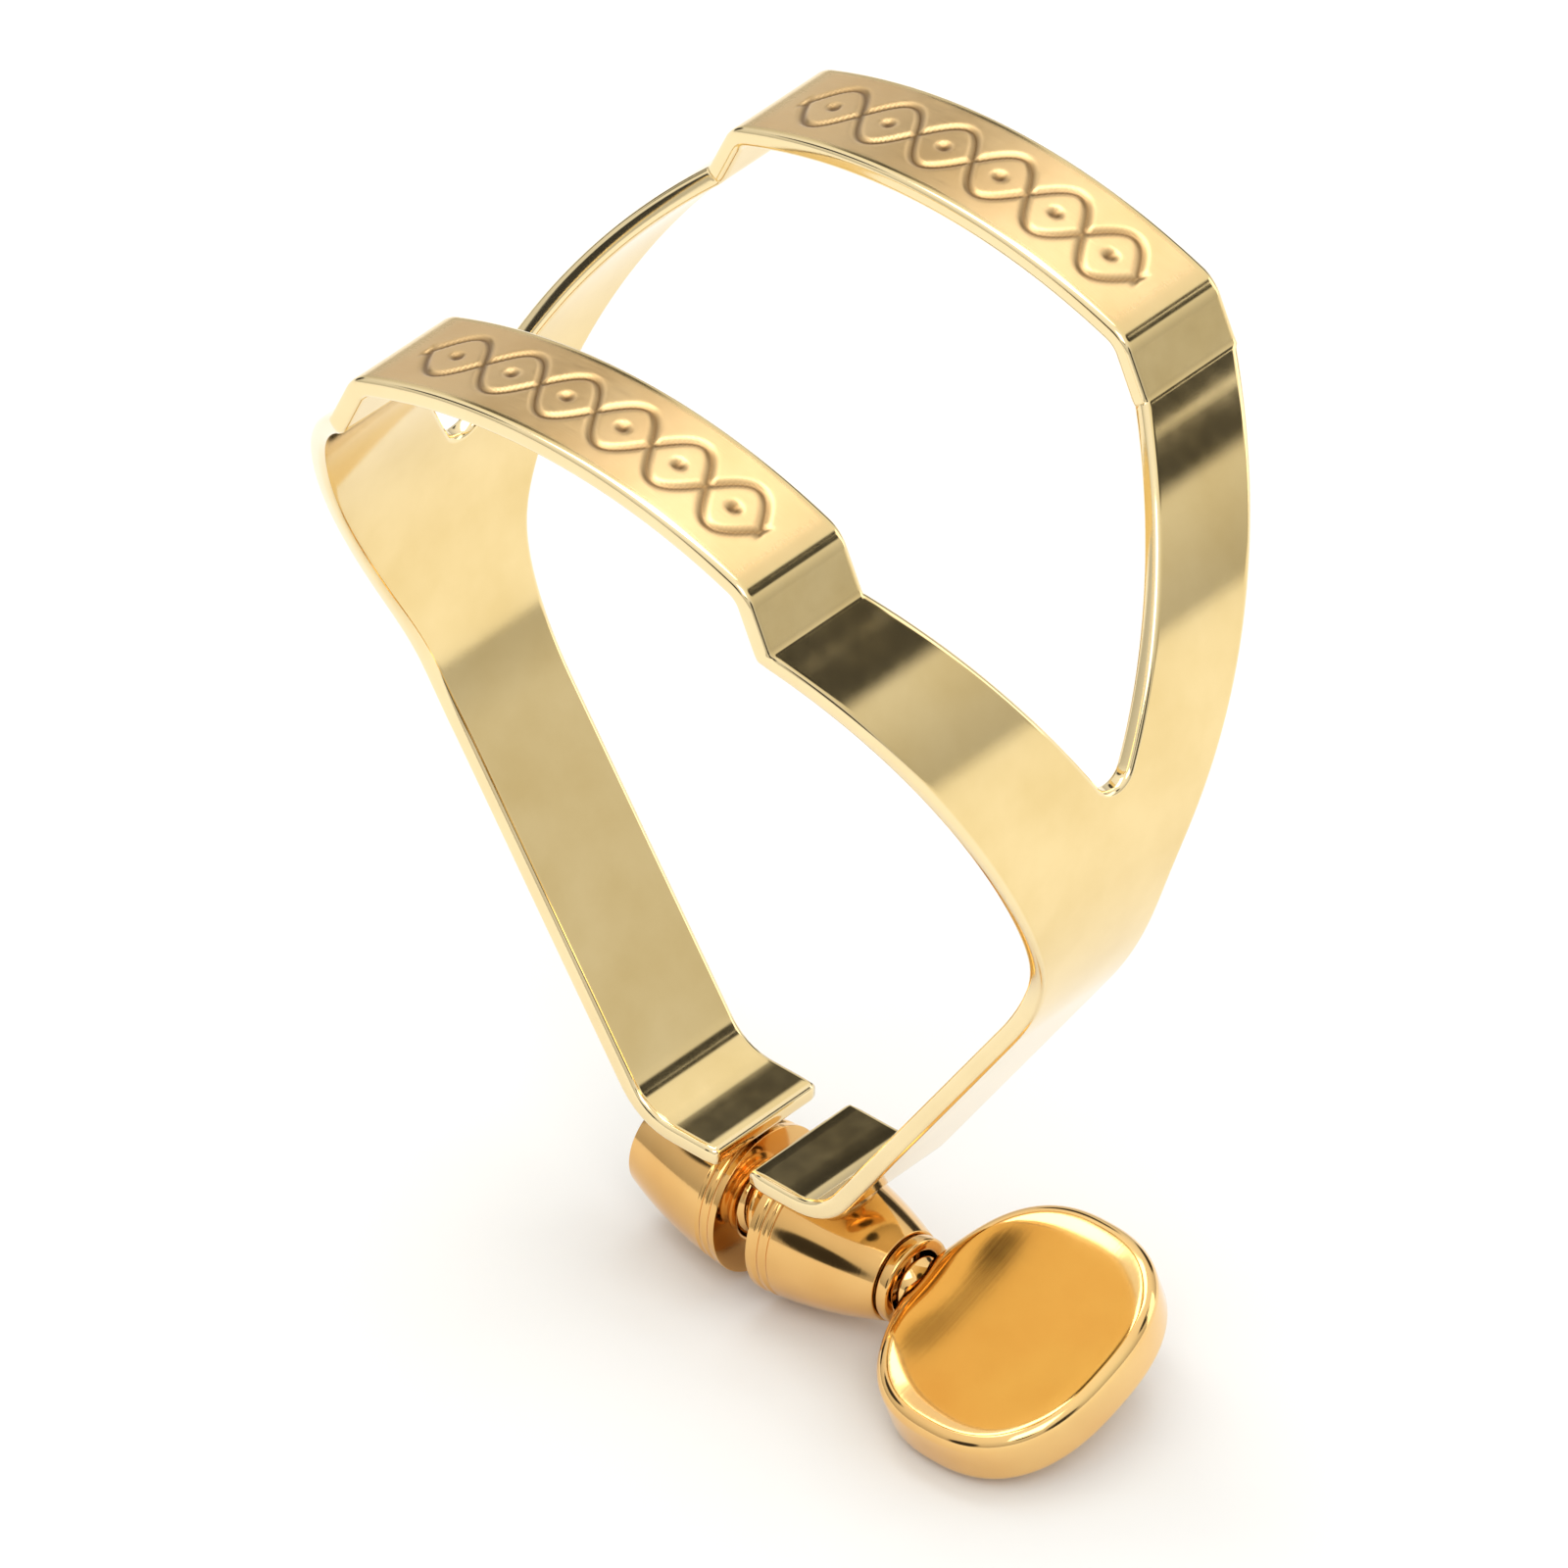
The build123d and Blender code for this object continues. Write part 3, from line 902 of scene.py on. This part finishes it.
crown_piece, near_piece, seam_z = make_band(brass_sheet)
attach(crown_piece, "band")
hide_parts("band")
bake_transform(near_piece)
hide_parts("near_arm")

near_profile = post_profile(NEAR_BORE_RADIUS, -1)
far_profile = post_profile(FAR_BORE_RADIUS, 1)
collar_profile = softened([
    (COLLAR_Y, SHANK_RADIUS - 0.2),
    (COLLAR_Y, COLLAR_RADIUS),
    (NECK_Y, COLLAR_RADIUS),
    (NECK_Y, SHANK_RADIUS - 0.2),
])
turned = [
    (lathe("near_post_turned", near_profile, brass_turned), "near_jaw", "near_post", "turned_brass"),
    (lathe("far_post_turned", far_profile, brass_turned), "band", "far_post", "turned_brass"),
    (make_solder("near_solder_fillet", -1, near_profile, solder), "near_jaw", "near_solder", "solder"),
    (make_solder("far_solder_fillet", 1, far_profile, solder), "band", "far_solder", "solder"),
    (make_shank(brass_turned), "thumbscrew", "screw_shank", "turned_brass"),
    (lathe("screw_collar_turned", collar_profile, brass_turned), "thumbscrew", "screw_collar", "turned_brass"),
    (make_paddle(brass_paddle), "thumbscrew", "thumb_paddle", "paddle_brass"),
]
for piece, body, node, slot in turned:
    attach(piece, body)
    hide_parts(node)


# ---------------------------------------------------------------- studio

def stage_floor():
    """A plain pale floor under the object."""
    grid = bmesh.new()
    bmesh.ops.create_grid(grid, x_segments=FLOOR_CELLS, y_segments=FLOOR_CELLS, size=FLOOR_HALF)
    mesh = bpy.data.meshes.new("floor")
    grid.to_mesh(mesh)
    grid.free()
    floor = bpy.data.objects.new("floor", mesh)
    floor.location.z = cad_box[0].z - FLOOR_DROP * MM
    bpy.context.scene.collection.objects.link(floor)
    n = Nodes("pale_floor")
    n.set("Base Color", (0.86, 0.86, 0.85, 1))
    n.set("Roughness", 0.9)
    n.set("Specular IOR Level", 0.1)
    mesh.materials.append(n.material)


def softbox(name, place, size, power):
    """A soft rectangular lamp that faces the object."""
    data = bpy.data.lights.new(name, "AREA")
    data.shape = "RECTANGLE"
    data.size, data.size_y = size
    data.energy = power
    lamp = bpy.data.objects.new(name, data)
    lamp.location = place
    lamp.rotation_euler = (-Vector(place)).to_track_quat("-Z", "Y").to_euler()
    bpy.context.scene.collection.objects.link(lamp)


def studio_world():
    """A pale room: white below and above, greyer at the horizon, with small dark flags as in a studio."""
    world = bpy.data.worlds.new("studio")
    world.use_nodes = True
    bpy.context.scene.world = world
    tree = world.node_tree
    direction = tree.nodes.new("ShaderNodeTexCoord").outputs["Generated"]
    separate = tree.nodes.new("ShaderNodeSeparateXYZ")
    ramp = tree.nodes.new("ShaderNodeValToRGB")
    shift = tree.nodes.new("ShaderNodeMapRange")
    shift.inputs["From Min"].default_value = -1
    tree.links.new(direction, separate.inputs[0])
    tree.links.new(separate.outputs["Z"], shift.inputs["Value"])
    tree.links.new(shift.outputs[0], ramp.inputs[0])
    stops = ramp.color_ramp.elements
    for height, _ in WORLD_LEVELS[1:-1]:
        stops.new((height + 1) / 2)
    for stop, (_, level) in zip(stops, WORLD_LEVELS):
        stop.color = (level, level, level * WORLD_TINT, 1)
    colour = ramp.outputs[0]
    for towards, half_angle in FLAGS:
        near = tree.nodes.new("ShaderNodeVectorMath")
        near.operation = "DOT_PRODUCT"
        near.inputs[1].default_value = Vector(towards).normalized()
        tree.links.new(direction, near.inputs[0])
        share = tree.nodes.new("ShaderNodeMapRange")
        share.inputs["From Min"].default_value = cos(radians(half_angle + FLAG_SOFT))
        share.inputs["From Max"].default_value = cos(radians(half_angle))
        tree.links.new(near.outputs["Value"], share.inputs["Value"])
        mix = tree.nodes.new("ShaderNodeMix")
        mix.data_type = "RGBA"
        tree.links.new(share.outputs[0], mix.inputs[0])
        tree.links.new(colour, mix.inputs[6])
        mix.inputs[7].default_value = (FLAG_LEVEL, FLAG_LEVEL, FLAG_LEVEL, 1)
        colour = mix.outputs[2]
    background = tree.nodes["Background"]
    tree.links.new(colour, background.inputs["Color"])


def make_camera():
    """A long lens at the photograph's viewing angle, centred on the object."""
    low, high = cad_box
    centre = (low + high) / 2
    turn, rise = radians(AZIMUTH), radians(ELEVATION)
    back = Vector((sin(turn) * cos(rise), -cos(turn) * cos(rise), sin(rise)))
    data = bpy.data.cameras.new("camera")
    data.sensor_width = SENSOR
    data.lens = SENSOR * DISTANCE / VIEW_WIDTH
    data.clip_start, data.clip_end = 0.01, 50
    camera = bpy.data.objects.new("camera", data)
    camera.location = centre + back * DISTANCE
    camera.rotation_euler = (-back).to_track_quat("-Z", "Y").to_euler()
    bpy.context.scene.collection.objects.link(camera)
    bpy.context.scene.camera = camera


stage_floor()
studio_world()
for lamp in LAMPS:
    softbox(*lamp)
make_camera()
bpy.context.scene.view_settings.view_transform = "Standard"
